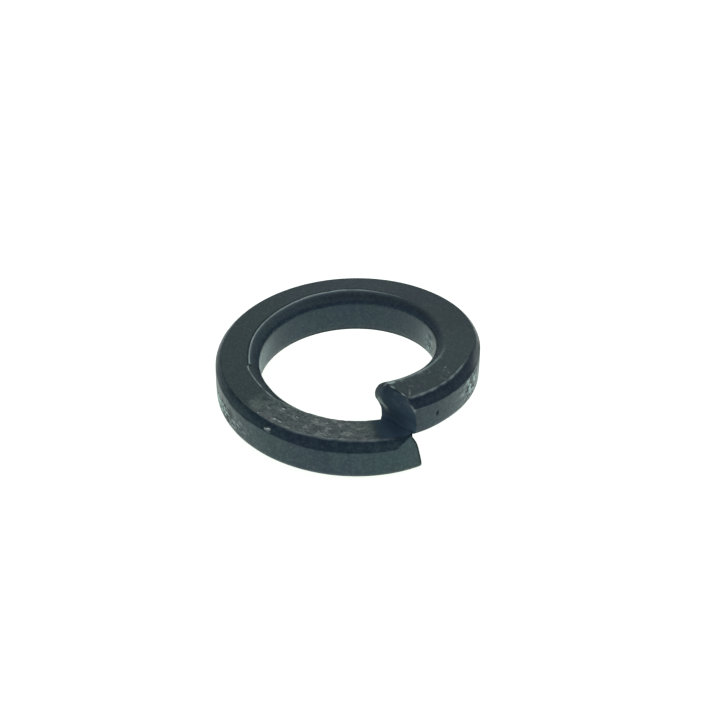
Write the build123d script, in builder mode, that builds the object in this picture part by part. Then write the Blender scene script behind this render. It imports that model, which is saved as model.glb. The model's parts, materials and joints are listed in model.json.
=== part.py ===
from build123d import *
from math import cos, degrees, pi, radians, sin
import os

# Spring lock washer: one turn of near-square steel wire, wound left-handed, sheared across and sprung apart.
# The bore runs along +Z, z = 0 is the plane under the low end, and the split is on the +X side.

# Coil
bore_diameter = 10.36
wire_width = 2.62  # across the wire, from the bore to the outer wall
wire_thickness = 2.45  # along the axis
end_gap = 0.08  # height left between the raised end and the low end below it

# Rolled corners of the wire: arcs from the flats to the walls, rounder above than below
upper_inner_corner_width = 0.66
upper_inner_corner_height = 0.52
upper_outer_corner_width = 0.40
upper_outer_corner_height = 0.55
lower_inner_corner_width = 0.26
lower_inner_corner_height = 0.45
lower_outer_corner_width = 0.42
lower_outer_corner_height = 0.48
corner_overrun = 0.02  # how far an arc goes on past its wall, which cuts it off
corner_fall = 0.16  # how far it drops on that stretch

# Sheared ends: degrees between a cut and a radius, seen from above, and how far an end passes the split
raised_skew = 19.0
raised_reach = 0.12
low_skew = 5.0
low_reach = 0.46
end_trim = 1.1  # length of coil past the split that each end is wound with before its cut, along the mean circle
cut_overrun = 0.50  # how far cutting shapes stand clear of the wire

# Shear faces, as shares of the wire's thickness: how far they lean along the coil, and at what height.
# The raised end has a rolled lip near its top and a hollow below it, and the low end a rounded toe.
raised_rim_lean_share = -0.01
raised_lip_shares = (-0.06, 0.20)
raised_waist_shares = (-0.005, 0.0)
raised_foot_lean_share = 0.06
low_rim_lean_share = -0.15
low_middle_shares = (0.0, 0.04)
low_toe_shares = (0.082, -0.41)
low_heel_shares = (-0.02, -0.54)

# Sizes that follow
bore_radius = bore_diameter / 2
outer_radius = bore_radius + wire_width
mean_radius = bore_radius + wire_width / 2
half_thickness = wire_thickness / 2
rise = wire_thickness + end_gap  # climb in one turn
free_height = wire_thickness + rise
trim_angle = degrees(end_trim / mean_radius)
trim_turns = trim_angle / 360
coil_turns = 1 + 2 * trim_turns
start_height = half_thickness - rise * trim_turns
half_pitch = rise / 2


def corner(wall, flat, width, height):
    """A rolled corner as three points: on the flat, on the wall, and a little past the wall."""
    outward = 1 if wall > mean_radius else -1
    downward = -1 if flat > 0 else 1
    on_flat = (wall - outward * width, flat)
    on_wall = (wall, flat + downward * height)
    past_wall = (wall + outward * corner_overrun, on_wall[1] + downward * corner_fall)
    return on_flat, on_wall, past_wall


def end_plane(height, skew, shift):
    """The plane square to a shear face: x runs back down the coil, y up through the wire."""
    down_coil = Vector(0, 2 * pi * mean_radius, -rise).normalized()
    outward = Vector(1, 0, 0)
    along = down_coil * cos(radians(skew)) - outward * sin(radians(skew))
    across = down_coil * sin(radians(skew)) + outward * cos(radians(skew))
    origin = Vector(mean_radius, 0, height) + along * shift
    return Plane(origin=origin, x_dir=along, z_dir=across)


def stub_length(skew, reach):
    """How far along the coil a cut runs, to clear the stub that it takes off."""
    return end_trim * outer_radius / mean_radius + wire_width / 2 * sin(radians(skew)) - reach + cut_overrun


def face_point(shares):
    """A point of a shear face, from its shares of the wire's thickness."""
    lean, height = shares
    return (lean * wire_thickness, height * wire_thickness)


# The coil, a little over one turn, with true round walls
with BuildPart() as coil:
    with BuildLine() as winding:
        Helix(rise, rise * coil_turns, mean_radius, center=(0, 0, start_height), lefthand=True)
    with BuildSketch(Plane.XZ.shift_origin((0, 0, start_height))) as wire_section:
        with BuildLine():
            upper_inner = corner(bore_radius, half_thickness, upper_inner_corner_width, upper_inner_corner_height)
            upper_outer = corner(outer_radius, half_thickness, upper_outer_corner_width, upper_outer_corner_height)
            lower_inner = corner(bore_radius, -half_thickness, lower_inner_corner_width, lower_inner_corner_height)
            lower_outer = corner(outer_radius, -half_thickness, lower_outer_corner_width, lower_outer_corner_height)
            for on_flat, on_wall, past_wall in (upper_inner, upper_outer, lower_inner, lower_outer):
                ThreePointArc(on_flat, on_wall, past_wall)
            Line(upper_inner[0], upper_outer[0])
            Line(lower_inner[0], lower_outer[0])
            Line(upper_inner[2], lower_inner[2])
            Line(upper_outer[2], lower_outer[2])
        make_face()
    sweep(path=winding.wire(), is_frenet=True)
    with BuildSketch(Plane.XY.offset(-cut_overrun)) as walls:
        Circle(outer_radius)
        Circle(bore_radius, mode=Mode.SUBTRACT)
    extrude(amount=free_height + 2 * cut_overrun, mode=Mode.INTERSECT)

# The washer: the coil turned so that the split comes to +X, with both ends sheared off
with BuildPart() as spring_washer:
    add(coil.part, rotation=(0, 0, trim_angle))

    with BuildSketch(end_plane(half_thickness + rise, raised_skew, -raised_reach)) as raised_cut:
        with BuildLine():
            rim = (raised_rim_lean_share * wire_thickness, half_thickness + cut_overrun)
            foot = (raised_foot_lean_share * wire_thickness, -half_pitch)
            lip = ThreePointArc(rim, face_point(raised_lip_shares), face_point(raised_waist_shares))
            TangentArc(lip @ 1, foot, tangent=lip % 1)
            far = -stub_length(raised_skew, raised_reach)
            Polyline(foot, (far, foot[1]), (far, rim[1]), rim)
        make_face()
    extrude(amount=wire_width, both=True, mode=Mode.SUBTRACT)

    with BuildSketch(end_plane(half_thickness, low_skew, low_reach)) as low_cut:
        with BuildLine():
            rim = (low_rim_lean_share * wire_thickness, half_pitch)
            heel = face_point(low_heel_shares)
            slope = ThreePointArc(rim, face_point(low_middle_shares), face_point(low_toe_shares))
            TangentArc(slope @ 1, heel, tangent=slope % 1)
            below = -half_thickness - cut_overrun
            far = stub_length(low_skew, low_reach)
            Polyline(heel, (heel[0], below), (far, below), (far, rim[1]), rim)
        make_face()
    extrude(amount=wire_width, both=True, mode=Mode.SUBTRACT)

spring_washer.part.label = "spring_washer"
os.makedirs("parts", exist_ok=True)
export_step(spring_washer.part, "parts/spring_washer.step")
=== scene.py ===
import json
import math
import bpy
import numpy as np
from mathutils import Matrix, Vector, noise


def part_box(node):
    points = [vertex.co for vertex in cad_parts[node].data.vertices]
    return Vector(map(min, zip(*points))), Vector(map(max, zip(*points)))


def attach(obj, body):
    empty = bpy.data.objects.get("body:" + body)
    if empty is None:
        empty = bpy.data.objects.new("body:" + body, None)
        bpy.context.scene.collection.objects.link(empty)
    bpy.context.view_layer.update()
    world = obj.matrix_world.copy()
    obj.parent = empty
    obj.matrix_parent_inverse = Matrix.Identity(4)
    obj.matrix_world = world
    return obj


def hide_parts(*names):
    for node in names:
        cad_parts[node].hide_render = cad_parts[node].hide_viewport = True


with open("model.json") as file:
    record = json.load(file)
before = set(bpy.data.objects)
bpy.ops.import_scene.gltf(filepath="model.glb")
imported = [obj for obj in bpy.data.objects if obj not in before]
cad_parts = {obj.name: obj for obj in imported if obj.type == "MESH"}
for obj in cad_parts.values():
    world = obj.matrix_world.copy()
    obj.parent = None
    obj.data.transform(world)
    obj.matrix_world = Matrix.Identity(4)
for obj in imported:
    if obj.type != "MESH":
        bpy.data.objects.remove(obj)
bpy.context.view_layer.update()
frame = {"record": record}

# The spring washer as photographed: one turn of black-oxidised steel wire, scuffed on its edges.
# Lengths are in millimetres until the mesh is made. Places along the wire are turns in degrees,
# from 0 at the low end to 360 at the raised end, clockwise from above. Heights are from the wire's middle.

NODE = "spring_washer"
MM = 0.001

# Coil, from the frame
bore = next(m for m in frame["record"]["mounts"] if m["name"] == "bore")
low_corner, high_corner = (np.array(c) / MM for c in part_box(NODE))
BORE_RADIUS = bore["dims"]["r_mm"]
OUTER_RADIUS = float(high_corner[0])
MEAN_RADIUS = (BORE_RADIUS + OUTER_RADIUS) / 2
THICKNESS = 2.45
HALF = THICKNESS / 2
END_GAP = 0.08
RISE = THICKNESS + END_GAP
SKIN = 0.008  # room left under the outer wall for unevenness

# Grid of the mesh: rows along the wire, columns in each stretch of its section, and rings on the cut ends
ROWS = 760
END_STEPS = (0.0, 0.012, 0.03, 0.055, 0.09, 0.14, 0.2, 0.28)
CAP_SHARES = (0.992, 0.975, 0.93, 0.86, 0.78, 0.69, 0.60, 0.50, 0.40, 0.30, 0.20, 0.10, 0.03)
COLUMNS = {
    "top": 27, "upper_outer": 15, "outer_wall": 18, "lower_outer": 9,
    "bottom": 12, "lower_inner": 8, "inner_wall": 14, "upper_inner": 14,
}
TOP_DRAW = 0.5  # how strongly the columns of a stretch are drawn towards both its ends
WALL_DRAW = 0.3
BOTTOM_DRAW = 0.4
UPPER = ("top", "upper_outer", "upper_inner")
OUTSIDE = ("outer_wall", "upper_outer", "lower_outer")

# Rolled corners along the wire, as (turn, size): width across the flat, height down the wall, the angle
# at which the corner leaves the flat, the share of the height taken by its bend into the wall, and how
# much of the width is left there, which makes an edge
UPPER_INNER_WIDTH = (
    (0, 0.45), (12, 0.455), (27, 0.45), (36, 0.435), (48, 0.41), (57, 0.41), (64, 0.46), (71, 0.55),
    (79, 0.575), (84, 0.59), (88, 0.605), (96, 0.665), (104.3, 0.75), (106.5, 0.62), (118, 0.595),
    (132, 0.645), (162, 0.73), (190, 0.88), (208, 0.90), (230, 0.74), (265, 0.62), (300, 0.52),
    (330, 0.46), (345, 0.42), (360, 0.42),
)
UPPER_INNER_HEIGHT = (
    (0, 0.50), (48, 0.46), (60, 0.34), (70, 0.30), (85, 0.30), (92, 0.36), (104, 0.42), (113, 0.48),
    (130, 0.50), (170, 0.55), (208, 0.55), (265, 0.50), (330, 0.50), (345, 0.44), (360, 0.38),
)
UPPER_INNER_CREASE = (
    (0, 36), (52, 36), (60, 24), (68, 12), (80, 10), (89, 8), (104, 8), (113, 34), (130, 34),
    (208, 28), (235, 24), (265, 10), (300, 8), (335, 24), (360, 34),
)
UPPER_INNER_BEND = ((0, 0.35), (110, 0.35), (150, 0.60), (215, 0.60), (265, 0.5), (300, 0.5), (360, 0.4))
UPPER_OUTER_WIDTH = (
    (0, 0.06), (3, 0.22), (8, 0.32), (18, 0.35), (28, 0.38), (42, 0.38), (52, 0.36), (60, 0.33),
    (68, 0.36), (80, 0.38), (100, 0.36), (120, 0.34), (245, 0.325), (270, 0.29), (298, 0.30),
    (310, 0.46), (322, 0.54), (335, 0.47), (345, 0.41), (360, 0.36),
)
UPPER_OUTER_HEIGHT = (
    (0, 0.03), (1, 0.04), (3, 0.10), (5, 0.24), (7, 0.43), (8.8, 0.62), (11, 0.66), (20, 0.66),
    (42, 0.67), (50, 0.63), (62, 0.57), (75, 0.59), (88, 0.53), (100, 0.45), (120, 0.40), (270, 0.38),
    (295, 0.40), (306, 0.54), (318, 0.60), (330, 0.63), (345, 0.68), (360, 0.70),
)
UPPER_OUTER_CREASE = (
    (0, 52), (60, 50), (100, 46), (130, 34), (270, 34), (310, 42), (325, 44), (340, 50), (360, 54),
)
UPPER_OUTER_BEND = ((0, 0.28), (84, 0.28), (130, 0.3), (270, 0.3), (318, 0.28), (360, 0.28))
UPPER_OUTER_EASE = (
    (0, 0.30), (90, 0.28), (120, 0.05), (135, 0), (270, 0), (295, 0.1), (312, 0.28), (360, 0.30),
)
LOWER_INNER_WIDTH = ((0, 0.22), (335, 0.22), (357, 0.06), (360, 0.05))
LOWER_INNER_HEIGHT = ((0, 0.62), (335, 0.62), (357, 0.10), (360, 0.08))
LOWER_OUTER_WIDTH = ((0, 0.30), (338, 0.30), (357, 0.20), (360, 0.20))
LOWER_OUTER_HEIGHT = ((0, 0.36), (338, 0.36), (357, 0.26), (360, 0.26))
LOWER_CREASE = 4.0
LOWER_BEND = 0.5
CREASE_REACH = 0.5  # share of a corner's width over which it holds the angle of its crease
CREASE_DROP = 0.6  # most of a corner's height that its crease may take

# How far the bore wall falls back from its fullest height, along the wire, and the outer wall from its own
INNER_BELLY = (
    (0, 0.07), (58, 0.07), (96, 0.01), (150, 0.0), (260, 0.0), (300, 0.01), (335, 0.07), (360, 0.07),
)
INNER_BELLY_HEIGHT = -0.45
OUTER_BELLY = 0.03

# Sheared ends: skew of the cut from a radius, and lean of the faces along the wire, as (height, lean)
SHEAR_SKEW = math.radians(19.0)
RAISED_INNER_LEAN = (
    (-1.9, -0.06), (-1.66, -0.02), (-1.3, 0.05), (-0.94, 0.01), (-0.56, -0.16), (-0.23, -0.29),
    (0.01, -0.42), (0.32, -0.47), (0.54, -0.46), (0.82, -0.35), (1.0, -0.22), (1.23, -0.03),
)
RAISED_OUTER_LEAN = (
    (-1.25, -0.10), (-1.0, -0.042), (-0.42, -0.017), (0.0, -0.074), (0.60, -0.24), (1.23, -0.42),
)
LOW_OUTER_LEAN = (
    (-1.26, 0.19), (-1.185, 0.37), (-1.0, 0.44), (-0.69, 0.40), (-0.30, 0.31), (0.18, 0.20),
    (0.65, 0.07), (0.91, -0.05), (1.24, -0.24),
)
LOW_INNER_LEAN = ((-1.26, 0.60), (-1.0, 0.75), (-0.30, 0.80), (0.65, 0.80), (1.24, 0.70))
END_HOLD = 2.5  # degrees of wire next to a cut in which the rows follow it fully
END_REACH = 30.0  # degrees of wire over which the rows straighten out from a cut

# Burr that hangs from the bore side of the raised end, down to the low end, as (radius, share)
FOOT_BURR = 0.66
FOOT_BURR_SHARE = (
    (5.18, 1.0), (5.30, 0.76), (5.48, 0.46), (5.62, 0.26), (5.78, 0.118), (7.2, 0.118), (7.65, 0.0),
    (7.8, 0.0),
)
FOOT_BURR_TURNS = (350.0, 357.5)
FOOT_BURR_HEIGHTS = (-0.5, -1.15)

# Burr that stands on the outer side of the low end's top edge
LOW_BURR = 0.30
LOW_BURR_TURNS = (5.0, -1.0)
LOW_BURR_HEIGHTS = (0.6, 1.15)
LOW_BURR_RADII = (6.7, 7.7)

# Rounding of the cuts' edges, wider at the rolled lip on the bore side of the raised face
EDGE_RADIUS = 0.03
FOOT_RADIUS = 0.008
FOOT_HEIGHT = -1.1
LIP_RADIUS = 0.24
LIP_RADII = (MEAN_RADIUS + 0.3, BORE_RADIUS + 0.1)
LIP_HEIGHTS = (-1.0, -0.6)

# A pair of values below is where something sets in and where it is full, and a group of four is where it
# sets in, is full from, is full to, and ends. Lumps are given by their size, seed and octaves, patches by
# their mean, swing and lumps, and a line beside an edge by its distance and half its width.

# Unevenness of the whole skin
WAVE_DEPTH = 0.004
WAVE_LUMPS = (0.9, 2)
GRAIN_DEPTH = 0.0015
GRAIN_LUMPS = (0.13, 1)

# Beads in which burrs and rubbed edges come and go
BEAD_MEAN = 0.75
BEAD_SWING = 0.9
BEAD_LIMITS = (0.1, 1.4)
BEAD_LUMPS = (0.5, 5)

# Ridges of burr along the two upper rims, as (turn, share of the full height)
OUTER_BURR = (
    (0, 0), (5, 0.05), (8, 0.5), (14, 0.9), (20, 1), (46, 1), (54, 0.45), (60, 0.1), (76, 0), (312, 0),
    (320, 0.7), (330, 1.2), (350, 1.3), (357, 1.1), (360, 0.2),
)
INNER_BURR = (
    (0, 0), (107, 0), (107.6, 1.1), (130, 1.2), (165, 1.2), (192, 1.3), (215, 1.1), (235, 0.4),
    (250, 0), (310, 0), (360, 0),
)
FRONT_BURR = (
    (0, 0), (6, 0.3), (20, 0.9), (60, 1), (78, 0.9), (83, 0.2), (86, 1), (104, 1), (105.2, 0),
    (106, 0), (360, 0),
)
# The burrs: side, height and width, share along the wire, and how much of it comes in beads
BURRS = (
    ("outer", (0.030, 0.034), OUTER_BURR, 1.0),
    ("inner", (0.040, 0.050), INNER_BURR, 0.5),
    ("inner", (0.026, 0.030), FRONT_BURR, 1.0),
)
BURR_WEAR = 0.9
BURR_WEAR_LIMIT = 1.2
# A groove behind the bore-side burr, with painted shade along it
GROOVE_BEHIND = 0.10
GROOVE_SIZE = (0.015, 0.035)
GROOVE_SHADE = 0.5
SHOULDER_WIDTH = 0.13
SHOULDER_WEAR = 0.3
RAISED_RIM = (0.07, 0.06)
RAISED_RIM_WEAR = ((0, 0), (300, 0), (320, 0.5), (335, 0.9), (352, 0.9), (366, 1.0), (369, 0.9))
RAISED_RIM_BEADING = 0.6

# Bright line where the outer bevel meets the wall, as (turn, share)
BEVEL_LINE = (
    (0, 0), (30, 0.05), (50, 0.25), (66, 0.7), (90, 0.8), (104, 0.3), (116, 0), (312, 0), (325, 0.5),
    (345, 0.8), (358, 0.7), (360, 0),
)
BEVEL_LINE_WIDTH = 0.035
BEVEL_LINE_WEAR = 0.3

# Edges and places darkened: stretch, amount, heights and turns. On the bore's lower edge at both sides and
# on the right of the outer bevel this is painted shade; on the back of the top and on the outer wall by the
# raised end it only makes them darker.
ANY_HEIGHT = (-9, -8)
DARK_PLACES = (
    ("lower_inner", 0.7, (-0.98, -1.10), (100, 112, 300, 320)),
    ("upper_outer", 0.42, (1.06, 0.92), (262, 276, 298, 312)),
    ("top", 0.08, ANY_HEIGHT, (225, 245, 280, 300)),
    ("outer_wall", 0.07, ANY_HEIGHT, (330, 345, 380, 390)),
)
# Painted shade along the low end's cut edge
LOW_EDGE_WIDTH = 0.09
# Painted shade along the lower outer corner, where the wire meets the floor, in patches
HEEL_SHADE = 0.8
HEEL_HEIGHTS = (-1.02, -1.12)
HEEL_PATCHES = (0.6, 1.0, (0.25, 17))

# Scuffed front of the top, as (turn, share), and lighter scuffs elsewhere
FRONT_SCUFF = ((0, 1), (44, 1), (56, 0.75), (72, 0.5), (90, 0), (360, 0))
FRONT_SCUFF_TURNS = (8, 21)
FRONT_SCUFF_RAGGED = 8  # degrees by which its end comes and goes
FRONT_SCUFF_LUMPS = (0.8, 21, 3)
BRUSHED_SCUFF = 0.5
BRUSHED_TURNS = (300, 325)
BRUSHED_FROM_RIM = (0.55, 0.1)
BRUSHED_PATCHES = (0.5, 1.0, (0.4, 23))
# Light scuffs: amount, turns, and the levels and the lumps in which they come
ANY_TURN = (-90, -80)
LIGHT_SCUFFS = ((0.35, (322, 334), (-0.1, 0.5), (0.5, 12, 3)), (0.15, ANY_TURN, (0.1, 0.6), (0.9, 7, 3)))
FACET_SCUFF = 0.12
FACET_TURNS = (86, 90, 104.5, 105.5)
TORN_DEPTH = 0.012
TORN_LEVELS = (-0.1, 0.5)
TORN_LUMPS = (0.30, 4, 3)
SCUFF_GRAIN_DEPTH = 0.004

# Flecks on the scuffed top where the steel shows, each with a painted shadow on its bore side:
# turn, radius, and half their length along and across the wire
FLECKS = (
    (61.5, 7.08, 0.20, 0.10), (58.1, 7.10, 0.20, 0.09), (42.5, 6.11, 0.17, 0.06), (53.3, 6.24, 0.13, 0.08),
    (39.5, 6.94, 0.17, 0.06), (43.4, 7.36, 0.07, 0.07), (68.9, 6.50, 0.10, 0.06), (62.8, 6.06, 0.20, 0.10),
    (29.4, 7.27, 0.08, 0.10), (28.7, 6.69, 0.07, 0.05), (20.8, 6.69, 0.06, 0.08), (21.3, 6.19, 0.09, 0.05),
    (33.4, 5.90, 0.10, 0.05), (37.4, 6.06, 0.09, 0.05), (70.0, 7.30, 0.06, 0.07), (34.5, 7.05, 0.07, 0.06),
)
FLECK_BARE_SHARES = (0.85, 0.8)
FLECK_SHADOW_TURN = 0.3
FLECK_SHADOW = 0.5

# Soft marks, as (amount, turn, place, half length along the wire, half width across it). The place is a
# height on the walls and the bevel, a radius on the top, and at the nick and the raised corner a distance
# from the bore-side rim.
WALL_SHINE = ((1.0, 97, -0.35, 2.1, 0.60), (1.0, 320, 0.0, 1.1, 0.75))
BORE_SHINE = ((0.8, 279, -0.4, 0.8, 0.9), (0.3, 125, 0.0, 0.9, 1.1))
BORE_WEAR = ((0.26, 276, -0.2, 1.2, 0.9), (0.24, 132, 0.0, 1.6, 1.0))
BORE_BEADED_WEAR = ((0.62, 114, 0.2, 1.0, 0.9),)
BORE_BEADING = 0.4
# The nick and the pit are darkened inside, and the chip beside its edge, with painted shade; their other
# marks are bare steel.
NICK = ((1.0, 105.8, -0.06, 0.05, 0.07),)
NICK_EDGE = (
    (0.7, 105.0, 0.02, 0.06, 0.06), (0.9, 105.5, 0.05, 0.09, 0.05), (0.6, 106.2, -0.20, 0.05, 0.07),
)
NICK_DEPTH = 0.06
NICK_SHADE = 0.5
CHIP = ((1.0, 62.8, 0.78, 0.12, 0.06), (1.0, 61.4, 0.86, 0.11, 0.06), (0.5, 61.0, 0.72, 0.07, 0.07))
CHIP_EDGE_SHADE = ((0.6, 63.2, 0.98, 0.12, 0.07), (0.6, 64.6, 0.80, 0.06, 0.08), (0.6, 60.2, 0.86, 0.07, 0.07))
CHIP_DEPTH = 0.06
CHIP_BARE = 1.3
PIT = ((1.0, 346.2, -0.20, 0.075, 0.125),)
PIT_EDGE = ((0.5, 344.9, -0.20, 0.06, 0.15),)
PIT_DEPTH = 0.07
RAISED_CORNER = ((1.2, 361.2, 0.15, 0.26, 0.12),)
SPECK = ((0.8, 150.7, 6.18, 0.05, 0.05),)

# Strokes of the hooked scuff by the raised end: turn, radius, slant per degree, half width, and turns.
# Short scratches beside it: slant, turn, radius, half length and half width
HOOK = (
    (356.0, 6.80, 0.1875, 0.10, (355.4, 356.2, 359.4, 360.4)),
    (353.5, 6.48, -0.09, 0.07, (352.0, 352.8, 354.2, 355.0)),
)
HOOK_SCUFF = 0.9
HOOK_BARE = 0.55
HOOK_MEAN = 0.6
HOOK_SWING = 1.5
HOOK_LIMIT = 1.3
SCRATCHES = ((0.25, 329, 6.54, 0.30, 0.03), (-0.4, 337, 6.11, 0.22, 0.03))
SCRATCH_BARE = 0.8
SCRATCH_DEPTH = 0.010

# Edges of the raised end's cut: a bright worn line and a line of painted shade across the top, one down the
# wall, and the lip
CUT_RADII = (BORE_RADIUS + 0.45, BORE_RADIUS + 0.7)
CUT_BRIGHT = (0.05, 0.035)
CUT_BRIGHT_END = (7.6, 7.3)
CUT_BRIGHT_PATCHES = (0.3, 2.0, (0.3, 15))
CUT_SHADE = 0.6
CUT_SHADE_WIDTH = 0.02
CUT_SHADE_END = (7.45, 7.2)
WALL_EDGE = (0.02, 0.06)
WALL_EDGE_HEIGHTS = (0.20, 0.55, 0.65, 0.95)
WALL_EDGE_WEAR = 0.36
LIP_BACK = (0.32, 0.12)
LIP_SCUFF = 0.5
LIP_MATT = 0.9

# Raised cut face: its rubbed strip beside the bore, and other marks by amount, heights and reach from it
CUT_GREEN = 0.35
STRIP_PLACE = 0.38
STRIP_SLANT = 0.20
STRIP_SLANT_HEIGHTS = (0.0, -0.6)
STRIP_WIDTH = 0.12
STRIP_HEIGHTS = (-0.72, -0.30, 0.0, 0.34)
STRIP_WEAR = 0.95
STRIP_POLISH = 0.55
ANY_REACH = (9, 8)
FACE_MARKS = (
    ("wear", 0.28, (-0.25, 0.10, 8, 9), (0.80, 0.10)),
    ("wear", 0.35, (-0.45, -0.15, 0.15, 0.45), (0.45, 0.10)),
    # Paler navy low on the face is painted light against the shade of the crevice at its foot.
    ("navy", 0.32, (-9, -8, -1.0, -0.4), ANY_REACH),
    ("navy", 0.60, (-9, -8, -1.25, -0.90), ANY_REACH),
    ("scuff", 0.16, (-0.2, 0.6, 8, 9), ANY_REACH),
)

# Oxide colour along the wire, from blue at 0 to green at 1
GREEN = (
    (0, 0.8), (12, 0.8), (27, 0.25), (45, 0.2), (58, 0.6), (75, 0.9), (120, 0.7), (170, 0.4), (215, 0.2),
    (250, 0.2), (290, 0.7), (325, 0.6), (345, 0.35), (360, 0.4),
)
GREEN_SWING = 0.5
GREEN_LUMPS = (2.2, 31)

# Casts of pale navy and of deep blue. The low end's top beside the cut above it is dull and painted pale
# navy, a painted reflection of the raised end's face in its shade, and paler still towards the cut's foot
# as painted light against the crevice's shade.
LOW_TOP_TURNS = (7, 16)
LOW_TOP_NAVY = 0.62
FOOT_PAINTED_LIGHT = 0.30
FOOT_PAINTED_LIGHT_REACH = (0.7, 0.0)
NAVY = (
    ("upper_inner", 0.12, (106, 112, 175, 205)),
    ("inner_wall", 0.09, (-90, -80, 320, 340)),
    ("outer_wall", 0.08, (-90, -80, 20, 40)),
)
BEVEL_BLUE = 0.35
RAISED_BLUE = 0.40
RAISED_BLUE_TURNS = (300, 325)
LESS_BLUE = 0.6
LESS_BLUE_TURNS = (60, 80, 280, 300)
NO_BLUE_TURNS = (250, 262, 296, 312)
# Band of painted shade on the back of the bore's bevel, fading through paler navy at its foot
BACK_BEVEL_TURNS = (165, 200, 258, 290)
BACK_BEVEL_SHADE = 0.26
BACK_BEVEL_BAND = (0.12, 0.38, 0.50, 0.85)
BACK_BEVEL_NAVY = 0.15
BACK_BEVEL_FOOT = (0.55, 0.85)

# Marks that the mesh carries for the material
MARKS = ("wear", "chips", "scuff", "shine", "dark", "matt", "navy", "blue", "green")
STREAK = 1.9  # how much longer than wide the streaks along the wire are

# Noises of the material: lumps per millimetre, detail, roughness and distortion
PLACE_NOISES = {
    "clouds": (0.55, 3.0, 0.55, 0.0),
    "patches": (1.9, 5.0, 0.6, 0.0),
    "blotches": (1.7, 5.0, 0.62, 1.5),
    "grain": (5.5, 6.0, 0.65, 0.0),
    "specks": (6.5, 4.0, 0.6, 0.8),
    "pits": (15.0, 3.0, 0.5, 0.0),
}
WIRE_NOISES = {"flakes": (3.4, 6.0, 0.66, 0.7), "streaks": (3.6, 5.0, 0.62, 0.6)}
NOISE_MIDDLE = 0.5

# Layers of the oxide and of the scuffs: colour, the levels of a noise over which it sets in, and its share
BLUE_OXIDE = (0.012, 0.023, 0.046, 1)
GREEN_OXIDE = (0.008, 0.027, 0.032, 1)
TEAL_OXIDE = ((0.016, 0.042, 0.048, 1), (0.42, 0.62), 0.7)
LIGHT_OXIDE = ((0.046, 0.070, 0.080, 1), (0.46, 0.64), 0.8)
GREEN_SCUFF = (0.155, 0.188, 0.165, 1)
GREY_SCUFF = ((0.185, 0.182, 0.176, 1), (0.42, 0.58), 1.0)
DARK_SCUFF = (0.085, 0.110, 0.106, 1)
DARK_SCUFF_LEVELS = (0.38, 0.60)
LIGHT_FLAKE = ((0.415, 0.448, 0.388, 1), (0.52, 0.61), 0.85)
LIGHT_FLAKE_LOSS = 0.14  # how far light flakes thin out where the scuff is faint
DARK_FLAKE = ((0.062, 0.080, 0.082, 1), (0.45, 0.38), 0.8)
LIGHT_SCUFF = ((0.235, 0.240, 0.228, 1), (0.46, 0.64), 0.3)
SCUFF_LEVELS = (0.10, 0.80)

# Casts of the oxide by their marks: colour and share. The navy cast is partly painted: on the low end's top
# and low on the raised face it is painted reflection and painted light.
CASTS = {
    "matt": ((0.018, 0.040, 0.064, 1), 0.85),
    "navy": ((0.110, 0.190, 0.240, 1), 0.85),
    "blue": ((0.005, 0.013, 0.030, 1), 0.8),
}

# Bare steel and shade
BARE_STEEL = (0.44, 0.53, 0.51, 1)
WORN_LEVELS = (0.30, 0.60)
WORN_SHARES = (0.7, 1.0)
SPECK_LEVELS = (0.60, 0.66)
SPECK_SHARE = 0.35
CHIP_LEVELS = (0.42, 0.62)
CHIP_REACH = (0.05, 0.30)
CHIP_RAGGED = 1.6
CHIP_SHARE = 0.7
SCRAPED_SPECKS = 0.4  # share of specks among the streaks of a rubbed wall
STREAK_LEVELS = (0.515, 0.555)
STREAK_SHARE = 0.95
SHADE = (0.008, 0.011, 0.014, 1)
STREAK_GAP_LEVELS = (0.51, 0.43)
STREAK_GAP_SHARE = 0.85
PITTED_LEVELS = (0.40, 0.30)
PITTED_SHARE = 0.7
RUBBED_CLEAR = (0.1, 0.5)

# Gloss and relief
ROUGH_LEVELS = (0.35, 0.65)
SKIN_ROUGH = (0.32, 0.44)
BLUE_ROUGH = 0.24
SCUFF_ROUGH = 0.50
BARE_ROUGH = 0.36
DULL_ROUGH = 0.80
GLOSS_LEVELS = (0.36, 0.64)
SKIN_GLOSS = (0.38, 0.44)
BLUE_SHEEN = (0.76, 0.96, 1.0, 1)
GREEN_SHEEN = (0.72, 1.0, 0.94, 1)
RELIEF_DEPTH = 0.022
RELIEF_STRENGTH = (0.42, 1.0)
GRAIN_RELIEF = 0.65
PIT_RELIEF = 0.35
BLOTCH_RELIEF = 0.8

# Floor and room
FLOOR_HALF = 2000.0
FLOOR_LOOK = {
    "Base Color": (0.80, 0.80, 0.80, 1),
    "Roughness": 0.9,
    "Specular IOR Level": 0.0,
    "Emission Color": (0.95, 1.0, 0.91, 1),
    "Emission Strength": 0.95,
}
ROOM_DIM = (0.225, 0.235, 0.310, 1)
ROOM_BRIGHT = ((0.87, 0.95, 0.89, 1), (0.70, 0.985), 1.0)
BRIGHT_ELEVATION = math.radians(50.0)  # height of the bright side of the room, behind the washer

# Camera as fitted to the photograph
CAMERA_AZIMUTH = math.radians(63.4)
CAMERA_ELEVATION = math.radians(35.15)
CAMERA_ROLL = math.radians(-0.23)
CAMERA_DISTANCE = 91.63
CAMERA_LENS = 77.32
CAMERA_SENSOR = 36.0
CAMERA_SHIFT = (0.0177, 0.0072)
CAMERA_NEAR = 1.0


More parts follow.
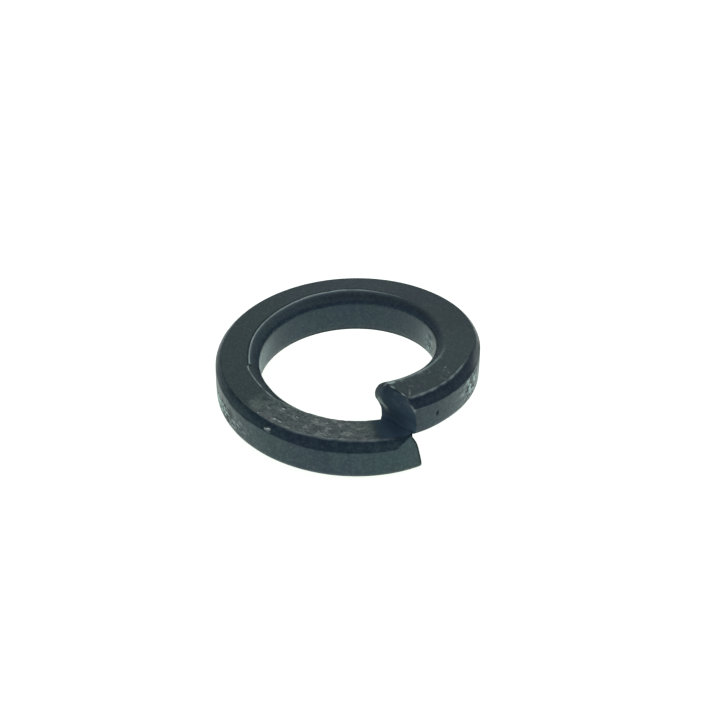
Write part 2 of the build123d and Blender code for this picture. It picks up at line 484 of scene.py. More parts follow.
def through(stops, x):
    """A smooth curve through (place, value) stops that doesn't overshoot them."""
    places, values = np.array(stops, float).T
    steps = np.diff(places)
    slopes = np.diff(values) / steps
    before, after = slopes[:-1], slopes[1:]
    total = np.where(np.abs(before + after) > 1e-12, before + after, 1.0)
    tangents = np.zeros_like(values)
    tangents[1:-1] = np.where(before * after > 0, 2 * before * after / total, 0)
    tangents[0], tangents[-1] = slopes[0], slopes[-1]
    x = np.clip(x, places[0], places[-1])
    i = np.clip(np.searchsorted(places, x) - 1, 0, len(steps) - 1)
    t = (x - places[i]) / steps[i]
    start = values[i] * (1 + 2 * t) * (1 - t) ** 2 + tangents[i] * steps[i] * t * (1 - t) ** 2
    end = values[i + 1] * t * t * (3 - 2 * t) + tangents[i + 1] * steps[i] * t * t * (t - 1)
    return start + end


def smooth(low, high, x):
    """A soft step from 0 at low to 1 at high, which may be below low."""
    t = np.clip((x - low) / (high - low), 0, 1)
    return t * t * (3 - 2 * t)


def between(span, x):
    """A soft window: where it sets in, is full from, is full to, and ends."""
    start, full_from, full_to, end = span
    return smooth(start, full_from, x) * smooth(end, full_to, x)


def bell(x, middle, width):
    """A soft ridge: 1 along its middle, fading to both sides."""
    return np.exp(-((x - middle) / width) ** 2)


def spot(turn, place, at_turn, at_place, along, across):
    """A soft round mark on the grid, sized along and across the wire."""
    a = np.radians(turn - at_turn) * MEAN_RADIUS / along
    b = (place - at_place) / across
    return np.exp(-(a * a + b * b))


def spots(turn, place, table):
    """Several soft marks together, each as its amount and what a spot takes."""
    return sum(amount * spot(turn, place, *where) for amount, *where in table)


def mottle(points, size, seed, octaves=1):
    """Smooth noise from about -1 to 1 on points, with lumps of a given size."""
    shift = Vector((seed * 7.31, seed * -3.17, seed * 5.53))
    if octaves == 1:
        return np.array([noise.noise(Vector(p) / size + shift) for p in points])
    return np.array([noise.fractal(Vector(p) / size + shift, 1.0, 2.0, octaves) for p in points])


def clustered(count, share):
    """Shares from 0 up to but not including 1, drawn towards both ends."""
    s = np.arange(count) / count
    return (1 - share) * s + share * (1 - np.cos(np.pi * s)) / 2


def corner_arc(width, height, crease, bend, ease, count, from_flat):
    """Offsets of a rolled corner for every row: outward along the flat, and down along the wall."""
    s = np.arange(count) / count
    s = (s if from_flat else 1 - s)[None]
    width, height = width[:, None], height[:, None]
    start_out = CREASE_REACH * width
    start_down = np.minimum(start_out * np.tan(np.radians(crease))[:, None], CREASE_DROP * height)
    end_down = height * (1 - np.reshape(bend, (-1, 1)))
    end_out = width * (1 - np.reshape(ease, (-1, 1)))
    early, late = 3 * (1 - s) ** 2 * s, 3 * (1 - s) * s ** 2
    out = early * start_out + late * end_out + s ** 3 * width
    down = early * start_down + late * end_down + s ** 3 * height
    return out, down


def wall_radius(side, height, turns):
    """Radius of the outer wall or the bore wall at a height, with its slight belly."""
    if side == "outer":
        return OUTER_RADIUS - SKIN - OUTER_BELLY * (height / HALF) ** 2
    return BORE_RADIUS + through(INNER_BELLY, turns) * ((height - INNER_BELLY_HEIGHT) / HALF) ** 2


def rims(turns):
    """Radii at which the top ends, on the bore side and on the outer side."""
    inner = BORE_RADIUS + through(UPPER_INNER_WIDTH, turns)
    outer = OUTER_RADIUS - SKIN - through(UPPER_OUTER_WIDTH, turns)
    return inner, outer


def section_grid(turns):
    """Radius and height for every row and column, and which stretch of the section each column is in."""
    lower_crease = np.full(len(turns), LOWER_CREASE)
    lower_bend = np.full(len(turns), LOWER_BEND)
    inner_rim, outer_rim = rims(turns)
    inner_drop = HALF - through(UPPER_INNER_HEIGHT, turns)
    outer_drop = HALF - through(UPPER_OUTER_HEIGHT, turns)
    foot_rim = BORE_RADIUS + through(LOWER_INNER_WIDTH, turns)
    foot_rise = -HALF + through(LOWER_INNER_HEIGHT, turns)
    heel_rim = OUTER_RADIUS - SKIN - through(LOWER_OUTER_WIDTH, turns)
    heel_rise = -HALF + through(LOWER_OUTER_HEIGHT, turns)
    stretches = []

    def spread(name, draw, start, end):
        return start[:, None] + (end - start)[:, None] * clustered(COLUMNS[name], draw)[None]

    def flat(name, draw, start, end, height):
        radius = spread(name, draw, start, end)
        stretches.append((name, radius, height + 0 * radius))

    def wall(name, start, end, side):
        height = spread(name, WALL_DRAW, start, end)
        stretches.append((name, wall_radius(side, height, turns[:, None]), height))

    def corner(name, from_flat, rim, drop, height, side, crease, bend, ease=0.0):
        sign = 1 if side == "outer" else -1
        width = sign * (wall_radius(side, drop, turns) - rim)
        out, down = corner_arc(width, np.abs(height - drop), crease, bend, ease, COLUMNS[name], from_flat)
        stretches.append((name, rim[:, None] + sign * out, height - math.copysign(1, height) * down))

    flat("top", TOP_DRAW, inner_rim, outer_rim, HALF)
    corner("upper_outer", True, outer_rim, outer_drop, HALF, "outer", through(UPPER_OUTER_CREASE, turns),
           through(UPPER_OUTER_BEND, turns), through(UPPER_OUTER_EASE, turns))
    wall("outer_wall", outer_drop, heel_rise, "outer")
    corner("lower_outer", False, heel_rim, heel_rise, -HALF, "outer", lower_crease, lower_bend)
    flat("bottom", BOTTOM_DRAW, heel_rim, foot_rim, -HALF)
    corner("lower_inner", True, foot_rim, foot_rise, -HALF, "inner", lower_crease, lower_bend)
    wall("inner_wall", foot_rise, inner_drop, "inner")
    corner("upper_inner", False, inner_rim, inner_drop, HALF, "inner", through(UPPER_INNER_CREASE, turns),
           through(UPPER_INNER_BEND, turns))

    names = np.concatenate([[name] * radius.shape[1] for name, radius, _ in stretches])
    return np.hstack([r for _, r, _ in stretches]), np.hstack([h for _, _, h in stretches]), names


def face_angle(lean, radius):
    """Angle about the axis, in degrees, at which a cut face with this lean stands at a radius."""
    return np.degrees(SHEAR_SKEW + np.arcsin((lean - MEAN_RADIUS * math.sin(SHEAR_SKEW)) / radius))


def cut_face(inner_lean, outer_lean, radius, height):
    """Angle of a cut face whose lean changes evenly from the bore to the outer wall."""
    across = np.clip((radius - BORE_RADIUS) / (OUTER_RADIUS - BORE_RADIUS), 0, 1)
    inner, outer = through(inner_lean, height), through(outer_lean, height)
    return face_angle(inner + (outer - inner) * across, radius)


def low_face(radius, height):
    """Angle of the low end's cut face."""
    return cut_face(LOW_INNER_LEAN, LOW_OUTER_LEAN, radius, height)


def raised_face(radius, height):
    """Angle of the raised end's cut face."""
    return cut_face(RAISED_INNER_LEAN, RAISED_OUTER_LEAN, radius, height)


def row_turns():
    """Turns of the rows at the middle of the wire, closer together at the two cut ends."""
    steps = np.degrees(np.array(END_STEPS) / MEAN_RADIUS)
    evenly = np.linspace(steps[-1], 360 - steps[-1], ROWS - 2 * len(steps) + 2)[1:-1]
    return np.concatenate([steps, evenly, 360 - steps[::-1]])


def outward_in_section(radius, height):
    """Unit normals of the section outline, for every row and column."""
    dr = np.roll(radius, -1, 1) - np.roll(radius, 1, 1)
    dh = np.roll(height, -1, 1) - np.roll(height, 1, 1)
    length = np.hypot(dr, dh)
    return -dh / length, dr / length


def rounded_ends(radius, height, from_low, from_raised):
    """The section drawn in near the two cuts, so that their edges are rounded."""
    normal_r, normal_h = outward_in_section(radius, height)
    lip = smooth(*LIP_RADII, radius) * smooth(*LIP_HEIGHTS, height)
    raised_radius = EDGE_RADIUS + (LIP_RADIUS - EDGE_RADIUS) * lip
    raised_radius = np.where(height < FOOT_HEIGHT, FOOT_RADIUS, raised_radius)
    inset = 0
    for away, edge in ((from_low, EDGE_RADIUS), (from_raised, raised_radius)):
        short = np.clip(edge - away, 0, None)
        inset = inset + edge - np.sqrt(np.clip(edge ** 2 - short ** 2, 0, None))
    return radius - normal_r * inset, height - normal_h * inset


def foot_burr(radius, height, turns):
    """The burr under the raised end, which fills the hollow over the low end's rolled corner."""
    near = smooth(*FOOT_BURR_TURNS, turns)[:, None] * smooth(*FOOT_BURR_HEIGHTS, height)
    return height - FOOT_BURR * near * through(FOOT_BURR_SHARE, radius)


def low_burr(radius, height, turns):
    """The low end's top edge, pulled up by the shear."""
    near = smooth(*LOW_BURR_TURNS, turns)[:, None] ** 2 * smooth(*LOW_BURR_HEIGHTS, height)
    return height + LOW_BURR * near * smooth(*LOW_BURR_RADII, radius)


def placed(radius, height, turn):
    """Points in the row frame, in millimetres, from radius, height off the wire's middle, and turn."""
    angle = -np.radians(turn)
    z = HALF + RISE * turn / 360 + height
    return np.stack([radius * np.cos(angle), radius * np.sin(angle), z], -1)


class Wire:
    """The undamaged wire on its grid: rows along its turn, and columns around its section."""

    def __init__(self):
        base = row_turns()
        self.from_low = np.radians(base)[:, None] * MEAN_RADIUS
        self.from_raised = np.radians(360 - base)[:, None] * MEAN_RADIUS
        radius, height, self.names = section_grid(base)
        height = low_burr(radius, foot_burr(radius, height, base), base)
        radius, height = rounded_ends(radius, height, self.from_low, self.from_raised)
        near_low = (1 - smooth(END_HOLD, END_REACH, base))[:, None]
        near_raised = (1 - smooth(END_HOLD, END_REACH, 360 - base))[:, None]
        low_shift = low_face(radius, height) * near_low
        raised_shift = raised_face(radius, height) * near_raised
        self.radius, self.height = radius, height
        self.turn = base[:, None] - low_shift - raised_shift
        self.points = placed(radius, height, self.turn)
        self.inner_rim, self.outer_rim = rims(self.turn)
        self.grain = self.lumps(*GRAIN_LUMPS)
        self.beads = np.clip(BEAD_MEAN + BEAD_SWING * self.lumps(*BEAD_LUMPS), *BEAD_LIMITS)

    def lumps(self, size, seed, octaves=1):
        """Smooth noise over the surface."""
        return mottle(self.points.reshape(-1, 3), size, seed, octaves).reshape(self.radius.shape)

    def patchy(self, mean, swing, lumps):
        """Strength from 0 to 1 that comes and goes in lumps."""
        return np.clip(mean + swing * self.lumps(*lumps), 0, 1)

    def on(self, *stretches):
        """1 on the named stretches of the section, and 0 elsewhere."""
        return np.isin(self.names, stretches)[None] * np.ones(self.radius.shape)

    def beaded(self, share):
        """Strength along an edge, of which this share comes in beads."""
        return 1 - share + share * self.beads

    def normals(self):
        """Unit normals of the surface, outward."""
        along = np.gradient(self.points, axis=0)
        around = (np.roll(self.points, -1, 1) - np.roll(self.points, 1, 1)) / 2
        normal = np.cross(around, along)
        normal = normal / np.linalg.norm(normal, axis=-1, keepdims=True)
        middle = placed(np.full_like(self.radius, MEAN_RADIUS), np.zeros_like(self.height), self.turn)
        inward = np.mean(np.sum((self.points - middle) * normal, -1)) < 0
        return -normal if inward else normal


def uneven_skin(wire):
    """Slow waves and a fine grain over the whole skin, as a displacement."""
    return -WAVE_DEPTH * np.abs(wire.lumps(*WAVE_LUMPS)) - GRAIN_DEPTH * np.abs(wire.grain)


def rim_burr(away, size, share):
    """Height of a ridge along a rim, from the distance to it, and how bare its crest is rubbed."""
    height, width = size
    ridge = bell(away, 0, width) * share
    return height * ridge, np.clip(ridge, 0, BURR_WEAR_LIMIT)


def rim_burrs(wire, marks):
    """Burr along the rims, with a groove behind the one on the bore side, as a displacement, and painted
    shade along the groove.
    """
    turn, upper, from_rim = wire.turn, wire.on(*UPPER), wire.radius - wire.inner_rim
    out = 0
    wear = 0
    for side, size, stops, beading in BURRS:
        away = wire.radius - wire.outer_rim if side == "outer" else from_rim
        ridge, bare = rim_burr(away, size, upper * through(stops, turn) * wire.beaded(beading))
        out = out + ridge
        wear = wear + BURR_WEAR * bare
    behind = upper * through(INNER_BURR, turn)
    groove, groove_shade = rim_burr(from_rim - GROOVE_BEHIND, GROOVE_SIZE, behind)
    raised_rim = wire.on("top") * bell(from_rim, *RAISED_RIM)
    raised_rim = raised_rim * through(RAISED_RIM_WEAR, turn) * wire.beaded(RAISED_RIM_BEADING)
    shoulder = wire.on("upper_inner") * bell(from_rim, 0, SHOULDER_WIDTH) * behind
    marks["wear"] = np.maximum(wear + raised_rim, SHOULDER_WEAR * shoulder)
    # painted shade along the groove behind the bore-side burr
    marks["dark"] = GROOVE_SHADE * groove_shade
    return out - groove


def edge_lines(wire, marks):
    """The bevel's lower edge, rubbed bright, and darkened edges and places, most of them painted shade."""
    turn, height = wire.turn, wire.height
    bevel_foot = HALF - through(UPPER_OUTER_HEIGHT, turn)
    bevel_line = wire.on(*OUTSIDE) * through(BEVEL_LINE, turn) * wire.beads
    bevel_line = bevel_line * bell(height, bevel_foot, BEVEL_LINE_WIDTH)
    # painted shade along the low end's cut edge
    low_edge_shade = wire.on("outer_wall", "upper_outer") * bell(wire.from_low, 0, LOW_EDGE_WIDTH)
    # painted shade along the lower outer corner
    heel_shade = wire.on("lower_outer") * smooth(*HEEL_HEIGHTS, height) * wire.patchy(*HEEL_PATCHES)
    marks["wear"] += BEVEL_LINE_WEAR * bevel_line
    marks["dark"] += HEEL_SHADE * heel_shade + low_edge_shade
    # painted shade on the bore's lower edge and the right of the outer bevel; the top at the back and the
    # outer wall by the raised end only darker
    for stretch, amount, heights, turns in DARK_PLACES:
        marks["dark"] += amount * wire.on(stretch) * smooth(*heights, height) * between(turns, turn)


def scuffed_top(wire, marks):
    """The scuffed front of the top, and lighter scuffs elsewhere, as a displacement."""
    turn = wire.turn
    ragged = FRONT_SCUFF_RAGGED * wire.lumps(*FRONT_SCUFF_LUMPS)
    front = smooth(*FRONT_SCUFF_TURNS, turn) * through(FRONT_SCUFF, turn + ragged)
    brushed = smooth(*BRUSHED_TURNS, turn) * smooth(*BRUSHED_FROM_RIM, wire.radius - wire.inner_rim)
    brushed = brushed * wire.patchy(*BRUSHED_PATCHES)
    scuff = front + BRUSHED_SCUFF * brushed
    for amount, turns, levels, lumps in LIGHT_SCUFFS:
        scuff = scuff + amount * smooth(*turns, turn) * smooth(*levels, wire.lumps(*lumps))
    facet = wire.on("upper_inner") * between(FACET_TURNS, turn)
    scuff = np.maximum(wire.on("top") * np.clip(scuff, 0, 1), FACET_SCUFF * facet)
    marks["scuff"] = scuff
    torn = smooth(*TORN_LEVELS, wire.lumps(*TORN_LUMPS))
    return -TORN_DEPTH * scuff * torn + SCUFF_GRAIN_DEPTH * scuff * wire.grain


def flecks(wire, marks):
    """Flecks of steel on the scuffed top, each with a painted shadow on its bore side."""
    turn, radius, top = wire.turn, wire.radius, wire.on("top")
    long_share, wide_share = FLECK_BARE_SHARES
    bare = 0
    edges = 0
    for at, r, along, across in FLECKS:
        bare = bare + spot(turn, radius, at, r, long_share * along, wide_share * across)
        # painted shadow of each fleck, set off towards the bore
        edges = edges + spot(turn, radius, at + FLECK_SHADOW_TURN, r - across, along, across)
    marks["chips"] = top * bare
    marks["dark"] += FLECK_SHADOW * top * edges


def rubbed_walls(wire, marks):
    """Walls rubbed at both sides and in the bore."""
    turn, height = wire.turn, wire.height
    wall = wire.on("outer_wall", "lower_outer")
    inside = wire.on("inner_wall", "lower_inner")
    marks["shine"] = wall * spots(turn, height, WALL_SHINE) + inside * spots(turn, height, BORE_SHINE)
    marks["wear"] += inside * spots(turn, height, BORE_BEADED_WEAR) * wire.beaded(BORE_BEADING)
    marks["wear"] += inside * spots(turn, height, BORE_WEAR)


def dents(wire, marks):
    """The nick and the chip on the rims, and the pit below the raised end, as a displacement, with painted
    shade in the pit and the nick and beside the chip.
    """
    turn, height, from_rim = wire.turn, wire.height, wire.radius - wire.inner_rim
    upper, outside = wire.on(*UPPER), wire.on(*OUTSIDE)
    nick = upper * spots(turn, from_rim, NICK)
    chip = outside * spots(turn, height, CHIP)
    pit = outside * spots(turn, height, PIT)
    marks["chips"] += CHIP_BARE * chip + outside * spots(turn, height, PIT_EDGE)
    marks["chips"] += upper * spots(turn, from_rim, NICK_EDGE)
    # painted shade in the pit and the nick, and beside the chip
    marks["dark"] += pit + NICK_SHADE * nick + outside * spots(turn, height, CHIP_EDGE_SHADE)
    return -NICK_DEPTH * nick - CHIP_DEPTH * chip - PIT_DEPTH * pit


def stroke(turn, radius, at_turn, at_radius, slant, width, turns):
    """A slanting stroke across the top."""
    return bell(radius, at_radius + slant * (turn - at_turn), width) * between(turns, turn)


def scratch(turn, radius, slant, at_turn, at_radius, along, across):
    """A short slanting scratch on the top."""
    sideways = slant * np.radians(turn - at_turn) * MEAN_RADIUS
    return spot(turn, radius - sideways, at_turn, at_radius, along, across)


def raised_end_marks(wire, marks):
    """Hooked scuff and scratches by the raised end, and a speck at the back, as a displacement."""
    turn, radius, top = wire.turn, wire.radius, wire.on("top")
    hook = top * sum(stroke(turn, radius, *line) for line in HOOK)
    scratches = top * sum(scratch(turn, radius, *line) for line in SCRATCHES)
    bare = HOOK_BARE * hook * np.clip(HOOK_MEAN + HOOK_SWING * wire.grain, 0, HOOK_LIMIT)
    bare = bare + SCRATCH_BARE * scratches + top * spots(turn, radius, SPECK)
    marks["scuff"] = np.maximum(marks["scuff"], HOOK_SCUFF * hook)
    marks["chips"] += bare + top * spots(turn, radius - wire.inner_rim, RAISED_CORNER)
    return -SCRATCH_DEPTH * bare


def raised_cut_edges(wire, marks):
    """Bright worn edges and a line of painted shade at the raised end's cut, dull skin on its lip, and dull
    skin on the low end's top beside the cut, where its painted navy goes.
    """
    radius, from_cut = wire.radius, wire.from_raised
    across = wire.on(*UPPER) * smooth(*CUT_RADII, radius)
    bright = bell(from_cut, *CUT_BRIGHT) * across * smooth(*CUT_BRIGHT_END, radius)
    bright = bright * wire.patchy(*CUT_BRIGHT_PATCHES)
    wall_edge = wire.on(*OUTSIDE) * bell(from_cut, *WALL_EDGE)
    wall_edge = wall_edge * between(WALL_EDGE_HEIGHTS, wire.height)
    lip = wire.on("inner_wall", "upper_inner") * smooth(*LIP_BACK, from_cut)
    # the low end's top beside the cut, which carries a painted reflection of the raised face
    shaded_low_top = wire.on("top") * (1 - smooth(*LOW_TOP_TURNS, wire.turn))
    marks["wear"] += bright + WALL_EDGE_WEAR * wall_edge
    # painted shade along the cut's edge across the top
    marks["dark"] += CUT_SHADE * bell(from_cut, 0, CUT_SHADE_WIDTH) * across * smooth(*CUT_SHADE_END, radius)
    marks["scuff"] = np.maximum(marks["scuff"], LIP_SCUFF * lip)
    marks["matt"] = np.maximum(shaded_low_top, LIP_MATT * lip)


def tints(wire, marks):
    """Casts of the oxide along the wire, the painted reflection and painted light on the low end's top
    under the raised end, and the band of painted shade on the back of the bore's bevel.
    """
    turn, radius = wire.turn, wire.radius
    from_foot = np.radians(turn + raised_face(radius, -HALF)) * radius
    # painted reflection of the raised face on the low end's top, paler at the cut's foot as painted light
    # against the crevice's shade
    shaded_low_top = LOW_TOP_NAVY + FOOT_PAINTED_LIGHT * smooth(*FOOT_PAINTED_LIGHT_REACH, from_foot)
    navy = wire.on("top") * marks["matt"] * shaded_low_top
    for stretch, amount, turns in NAVY:
        navy = np.maximum(navy, amount * wire.on(stretch) * between(turns, turn))
    down_bevel = (wire.inner_rim - radius) / through(UPPER_INNER_WIDTH, turn)
    back_bevel = wire.on("upper_inner") * between(BACK_BEVEL_TURNS, turn)
    blue = wire.on("upper_outer") * (BEVEL_BLUE + RAISED_BLUE * smooth(*RAISED_BLUE_TURNS, turn))
    blue = blue * (1 - LESS_BLUE * between(LESS_BLUE_TURNS, turn))
    # band of painted shade on the back of the bore's bevel
    marks["dark"] += BACK_BEVEL_SHADE * back_bevel * between(BACK_BEVEL_BAND, down_bevel)
    marks["navy"] = np.maximum(navy, BACK_BEVEL_NAVY * back_bevel * smooth(*BACK_BEVEL_FOOT, down_bevel))
    marks["blue"] = blue * (1 - between(NO_BLUE_TURNS, turn))
    marks["green"] = through(GREEN, turn) + GREEN_SWING * wire.lumps(*GREEN_LUMPS)


def damage(wire):
    """Displacement along the normal, and the marks that the material shows."""
    marks = {}
    out = uneven_skin(wire) + rim_burrs(wire, marks)
    edge_lines(wire, marks)
    out = out + scuffed_top(wire, marks)
    flecks(wire, marks)
    rubbed_walls(wire, marks)
    out = out + dents(wire, marks)
    out = out + raised_end_marks(wire, marks)
    raised_cut_edges(wire, marks)
    tints(wire, marks)
    return out, np.stack([np.clip(marks[mark], 0, 1) for mark in MARKS], -1)


def cut_marks(radius, height, raised):
    """Marks on a cut face: dull all over, and on the raised one a rubbed strip below its lip."""
    marks = dict.fromkeys(MARKS, 0 * radius)
    marks["matt"] = 1 + 0 * radius
    marks["green"] = CUT_GREEN + 0 * radius
    if raised:
        from_bore = radius - BORE_RADIUS
        strip = STRIP_PLACE + STRIP_SLANT * smooth(*STRIP_SLANT_HEIGHTS, height)
        rubbed = bell(from_bore, strip, STRIP_WIDTH) * between(STRIP_HEIGHTS, height)
        # FACE_MARKS include paler navy low on the face, painted light against the crevice's shade
        for mark, amount, heights, reach in FACE_MARKS:
            marks[mark] = marks[mark] + amount * between(heights, height) * smooth(*reach, from_bore)
        marks["wear"] = np.clip(marks["wear"] + STRIP_WEAR * rubbed, 0, 1)
        marks["scuff"] = marks["scuff"] + rubbed
        marks["matt"] = 1 - STRIP_POLISH * rubbed
    return np.stack([marks[mark] for mark in MARKS], -1)


def cap_ring(radius, height, share, raised):
    """Points, places for the streaks and marks of a ring on a cut face, a share of the edge's size."""
    r = MEAN_RADIUS + (radius - MEAN_RADIUS) * share
    h = height * share
    turn = 360 - raised_face(r, h) if raised else -low_face(r, h)
    return placed(r, h, turn), np.stack([0 * r, r, h], -1), cut_marks(r, h, raised)


def ring_quads(first, second, columns):
    """Quads between two closed rings of vertices."""
    here = np.arange(columns)
    following = (here + 1) % columns
    return np.stack([first + here, first + following, second + following, second + here], -1)


def washer_mesh():
    """One closed mesh of the wire: the grid around its turn, and a cap on each cut end."""
    wire = Wire()
    out, marks = damage(wire)
    rows, columns = wire.radius.shape
    points = wire.points + wire.normals() * out[..., None]
    along_wire = np.stack([np.radians(wire.turn) * MEAN_RADIUS / STREAK, wire.radius, wire.height], -1)
    parts = [(points.reshape(-1, 3), along_wire.reshape(-1, 3), marks.reshape(-1, len(MARKS)))]
    quads = [ring_quads(row * columns, (row + 1) * columns, columns) for row in range(rows - 1)]
    fans = []
    count = rows * columns
    for row, raised in ((0, False), (rows - 1, True)):
        radius, height = wire.radius[row], wire.height[row]
        order = 1 if raised else -1
        previous = row * columns
        for share in CAP_SHARES:
            parts.append(cap_ring(radius, height, share, raised))
            quads.append(ring_quads(previous, count, columns)[:, ::order])
            previous = count
            count += columns
        parts.append(cap_ring(radius[:1], height[:1], 0.0, raised))
        fan = np.insert(ring_quads(previous, previous, columns)[:, :2], 2, count, axis=1)
        fans.append(fan[:, ::order])
        count += 1

    points, along_wire, marks = (np.vstack(values) for values in zip(*parts))
    points = np.clip(points, low_corner, high_corner)
    mesh = bpy.data.meshes.new(NODE)
    mesh.from_pydata((points * MM).tolist(), [], np.vstack(quads).tolist() + np.vstack(fans).tolist())
    mesh.validate()
    for mark, values in zip(MARKS, marks.T):
        layer = mesh.attributes.new(mark, "FLOAT", "POINT")
        layer.data.foreach_set("value", np.ascontiguousarray(values, dtype=np.float32))
    layer = mesh.attributes.new("along_wire", "FLOAT_VECTOR", "POINT")
    layer.data.foreach_set("vector", np.ascontiguousarray(along_wire * MM, dtype=np.float32).ravel())
    mesh.polygons.foreach_set("use_smooth", np.ones(len(mesh.polygons), bool))
    mesh.update()
    return mesh


class Nodes:
    """Short calls for adding and wiring shader nodes."""

    def __init__(self, tree):
        self.tree = tree
        tree.nodes.clear()

    def new(self, kind, sources, **settings):
        """A node of a kind, with its settings, and its inputs set to values or linked to outputs."""
        node = self.tree.nodes.new(kind)
        for name, value in settings.items():
            setattr(node, name, value)
        for name, source in sources.items():
            if isinstance(source, (int, float, tuple)):
                node.inputs[name].default_value = source
            else:
                self.tree.links.new(source, node.inputs[name])
        return node

    def math(self, operation, a, b, clamp=False):
        node = self.new("ShaderNodeMath", {0: a, 1: b}, operation=operation, use_clamp=clamp)
        return node.outputs[0]

    def times(self, a, b):
        return self.math("MULTIPLY", a, b)

    def plus(self, a, b):
        return self.math("ADD", a, b)

    def minus(self, a, b):
        return self.math("SUBTRACT", a, b)

    def most(self, a, b, clamp=False):
        return self.math("MAXIMUM", a, b, clamp)

    def ramp(self, value, levels, shares=(0.0, 1.0)):
        sources = dict(enumerate((value, *levels, *shares)))
        return self.new("ShaderNodeMapRange", sources, interpolation_type="SMOOTHSTEP").outputs[0]

    def mix(self, share, a, b):
        return self.new("ShaderNodeMix", {0: share, 6: a, 7: b}, data_type="RGBA").outputs[2]

    def layer(self, base, value, colour, levels, share):
        return self.mix(self.ramp(value, levels, (0.0, share)), base, colour)

    def blend(self, share, a, b):
        return self.new("ShaderNodeMix", {0: share, 2: a, 3: b}, data_type="FLOAT").outputs[0]

    def attribute(self, name, output="Fac"):
        return self.new("ShaderNodeAttribute", {}, attribute_name=name).outputs[output]

    def place(self, output):
        return self.new("ShaderNodeTexCoord", {}).outputs[output]

    def noise(self, vector, per_mm, detail, roughness, distortion):
        sources = {"Vector": vector, "Scale": per_mm / MM, "Detail": detail}
        sources.update({"Roughness": roughness, "Distortion": distortion})
        return self.new("ShaderNodeTexNoise", sources).outputs[0]

    def surface(self, look):
        shader = self.new("ShaderNodeBsdfPrincipled", look)
        self.new("ShaderNodeOutputMaterial", {"Surface": shader.outputs[0]})


def new_material(name):
    """An empty material, and its nodes."""
    material = bpy.data.materials.new(name)
    material.use_nodes = True
    return material, Nodes(material.node_tree)


def skin_noises(n):
    """The noises that the skin is made of, some of them drawn out along the wire."""
    place = n.place("Object")
    along_wire = n.attribute("along_wire", "Vector")
    noises = {name: n.noise(place, *settings) for name, settings in PLACE_NOISES.items()}
    noises.update({name: n.noise(along_wire, *settings) for name, settings in WIRE_NOISES.items()})
    return noises


def oxide_colour(n, mark, noises):
    """Teal and blue clouds with a finer, lighter grain."""
    skin = n.mix(mark["green"], BLUE_OXIDE, GREEN_OXIDE)
    skin = n.layer(skin, noises["patches"], *TEAL_OXIDE)
    skin = n.layer(skin, noises["grain"], *LIGHT_OXIDE)
    for name, (colour, share) in CASTS.items():
        skin = n.mix(n.times(mark[name], share), skin, colour)
    return skin


def scuff_colour(n, mark, noises):
    """Grey blotches with lighter and darker flakes."""
    grey = n.layer(GREEN_SCUFF, noises["clouds"], *GREY_SCUFF)
    scuffed = n.mix(n.ramp(noises["blotches"], DARK_SCUFF_LEVELS), DARK_SCUFF, grey)
    flaked = n.plus(noises["flakes"], n.times(n.minus(mark["scuff"], 1.0), LIGHT_FLAKE_LOSS))
    scuffed = n.layer(scuffed, flaked, *LIGHT_FLAKE)
    scuffed = n.layer(scuffed, noises["flakes"], *DARK_FLAKE)
    return n.layer(scuffed, noises["grain"], *LIGHT_SCUFF)


def bare_share(n, mark, noises, scraped):
    """Where the steel shows: worn edges, specks in the scuffs, chips, and streaks on the rubbed walls."""
    specked = n.times(mark["scuff"], n.ramp(noises["specks"], SPECK_LEVELS))
    ragged = n.times(n.minus(noises["specks"], NOISE_MIDDLE), CHIP_RAGGED)
    ragged = n.plus(ragged, n.minus(noises["pits"], NOISE_MIDDLE))
    chipped = n.ramp(n.plus(mark["chips"], ragged), CHIP_LEVELS)
    chipped = n.times(chipped, n.ramp(mark["chips"], CHIP_REACH))
    streaked = n.times(mark["shine"], n.ramp(scraped, STREAK_LEVELS))
    bare = n.times(mark["wear"], n.ramp(noises["pits"], WORN_LEVELS, WORN_SHARES))
    bare = n.most(bare, n.times(specked, SPECK_SHARE))
    bare = n.most(bare, n.times(chipped, CHIP_SHARE))
    return n.most(bare, n.times(streaked, STREAK_SHARE), clamp=True)


def shade_share(n, mark, noises, scraped, bare):
    """Where it is darkest: pits in the scuffs, gaps between streaks, and the dark marks, mostly painted
    shade, where they aren't rubbed bare.
    """
    pitted = n.times(mark["scuff"], n.ramp(noises["pits"], PITTED_LEVELS))
    gaps = n.times(mark["shine"], n.ramp(scraped, STREAK_GAP_LEVELS, (0.0, STREAK_GAP_SHARE)))
    unrubbed = n.times(mark["dark"], n.ramp(bare, RUBBED_CLEAR, (1.0, 0.0)))
    return n.most(n.most(n.times(pitted, PITTED_SHARE), gaps), unrubbed, clamp=True)


def skin_roughness(n, mark, noises, bare, shade):
    """Satin oxide, smoother where it is blue or bare, and rougher in scuffs and on dull skin."""
    rough = n.ramp(noises["patches"], ROUGH_LEVELS, SKIN_ROUGH)
    rough = n.blend(mark["blue"], rough, BLUE_ROUGH)
    rough = n.blend(mark["scuff"], rough, SCUFF_ROUGH)
    rough = n.blend(bare, rough, BARE_ROUGH)
    return n.blend(n.most(mark["matt"], shade), rough, DULL_ROUGH)


def skin_relief(n, mark, noises):
    """Fine relief of the skin, stronger in the scuffs."""
    relief = n.plus(n.times(noises["grain"], GRAIN_RELIEF), n.times(noises["pits"], PIT_RELIEF))
    relief = n.plus(relief, n.times(n.times(noises["blotches"], mark["scuff"]), BLOTCH_RELIEF))
    strength = n.ramp(mark["scuff"], (0.0, 1.0), RELIEF_STRENGTH)
    sources = {"Distance": RELIEF_DEPTH * MM, "Strength": strength, "Height": relief}
    return n.new("ShaderNodeBump", sources).outputs[0]


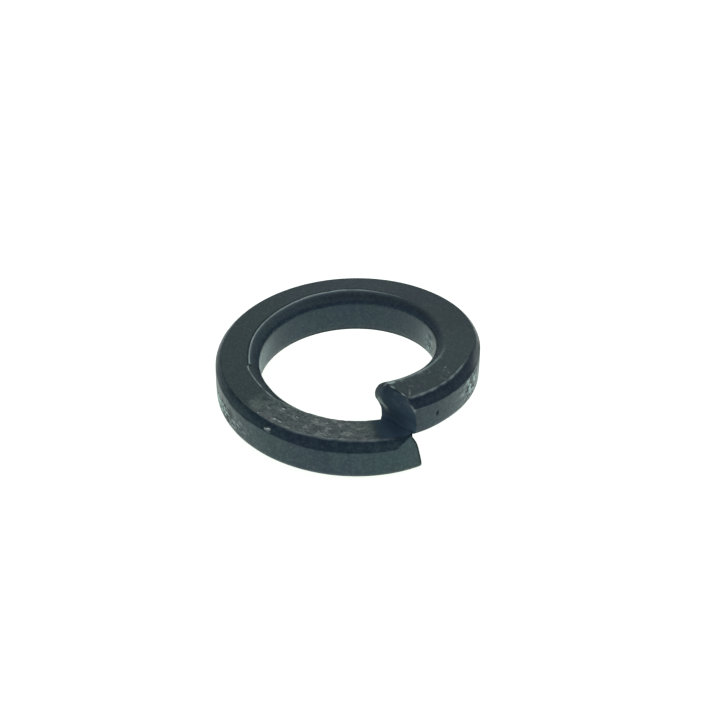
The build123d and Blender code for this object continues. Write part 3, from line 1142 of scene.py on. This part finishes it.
def black_steel():
    """Black-oxidised spring steel: mottled blue-black skin, grey scuffs, and bare rubbed rims."""
    material, n = new_material("black_steel")
    mark = {name: n.attribute(name) for name in MARKS}
    noises = skin_noises(n)
    scraped = n.blend(SCRAPED_SPECKS, noises["streaks"], noises["specks"])
    bare = bare_share(n, mark, noises, scraped)
    shade = shade_share(n, mark, noises, scraped, bare)
    scuffed = n.ramp(n.plus(mark["scuff"], n.minus(noises["blotches"], NOISE_MIDDLE)), SCUFF_LEVELS)
    colour = n.mix(scuffed, oxide_colour(n, mark, noises), scuff_colour(n, mark, noises))
    # Mostly painted shade: the dark marks turn to SHADE and lose their reflection, as do pits and gaps
    # between streaks.
    colour = n.mix(shade, n.mix(bare, colour, BARE_STEEL), SHADE)
    gloss = n.blend(shade, n.ramp(noises["patches"], GLOSS_LEVELS, SKIN_GLOSS), 0.0)
    n.surface({
        "Base Color": colour,
        "Metallic": bare,
        "Roughness": skin_roughness(n, mark, noises, bare, shade),
        "Specular IOR Level": gloss,
        "Specular Tint": n.mix(mark["green"], BLUE_SHEEN, GREEN_SHEEN),
        "Normal": skin_relief(n, mark, noises),
    })
    return material


def make_washer():
    """The washer as one piece, in place of the plain solid."""
    washer = bpy.data.objects.new("washer_wire", washer_mesh())
    bpy.context.scene.collection.objects.link(washer)
    washer.data.materials.append(black_steel())
    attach(washer, "root")
    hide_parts(NODE)


def floor_white():
    """Plain white that glows a little, so that it stays white in its own shade."""
    material, n = new_material("floor_white")
    n.surface(FLOOR_LOOK)
    return material


def make_floor():
    """A plain white floor under the low end."""
    half = FLOOR_HALF * MM
    z = float(low_corner[2]) * MM
    corners = [(-half, -half, z), (half, -half, z), (half, half, z), (-half, half, z)]
    mesh = bpy.data.meshes.new("floor")
    mesh.from_pydata(corners, [], [(0, 1, 2, 3)])
    floor = bpy.data.objects.new("floor", mesh)
    bpy.context.scene.collection.objects.link(floor)
    floor.data.materials.append(floor_white())


def direction(azimuth, elevation):
    """Unit vector from the washer to a place in the room."""
    flat = math.cos(elevation)
    return Vector((math.sin(azimuth) * flat, -math.cos(azimuth) * flat, math.sin(elevation)))


def make_camera():
    """The photograph's camera."""
    target = Vector((0, 0, (THICKNESS + RISE) / 2)) * MM
    camera = bpy.data.objects.new("camera", bpy.data.cameras.new("camera"))
    towards = direction(CAMERA_AZIMUTH, CAMERA_ELEVATION)
    turn = towards.to_track_quat("Z", "Y").to_matrix().to_4x4()
    roll = Matrix.Rotation(-CAMERA_ROLL, 4, "Z")
    camera.matrix_world = Matrix.Translation(target + towards * CAMERA_DISTANCE * MM) @ turn @ roll
    camera.data.lens = CAMERA_LENS
    camera.data.sensor_width = CAMERA_SENSOR
    camera.data.shift_x, camera.data.shift_y = CAMERA_SHIFT
    camera.data.clip_start = CAMERA_NEAR * MM
    bpy.context.scene.collection.objects.link(camera)
    bpy.context.scene.camera = camera


def make_light():
    """Soft white light from above and behind, and a dim blue-grey room on the camera's side."""
    world = bpy.data.worlds.new("studio")
    bpy.context.scene.world = world
    world.use_nodes = True
    n = Nodes(world.node_tree)
    x, y, z = direction(CAMERA_AZIMUTH, BRIGHT_ELEVATION)
    sources = {0: n.place("Generated"), 1: (-x, -y, z)}
    facing = n.new("ShaderNodeVectorMath", sources, operation="DOT_PRODUCT").outputs["Value"]
    background = n.new("ShaderNodeBackground", {"Color": n.layer(ROOM_DIM, facing, *ROOM_BRIGHT)})
    n.new("ShaderNodeOutputWorld", {"Surface": background.outputs[0]})
    bpy.context.scene.view_settings.view_transform = "Standard"


make_washer()
make_floor()
make_light()
make_camera()
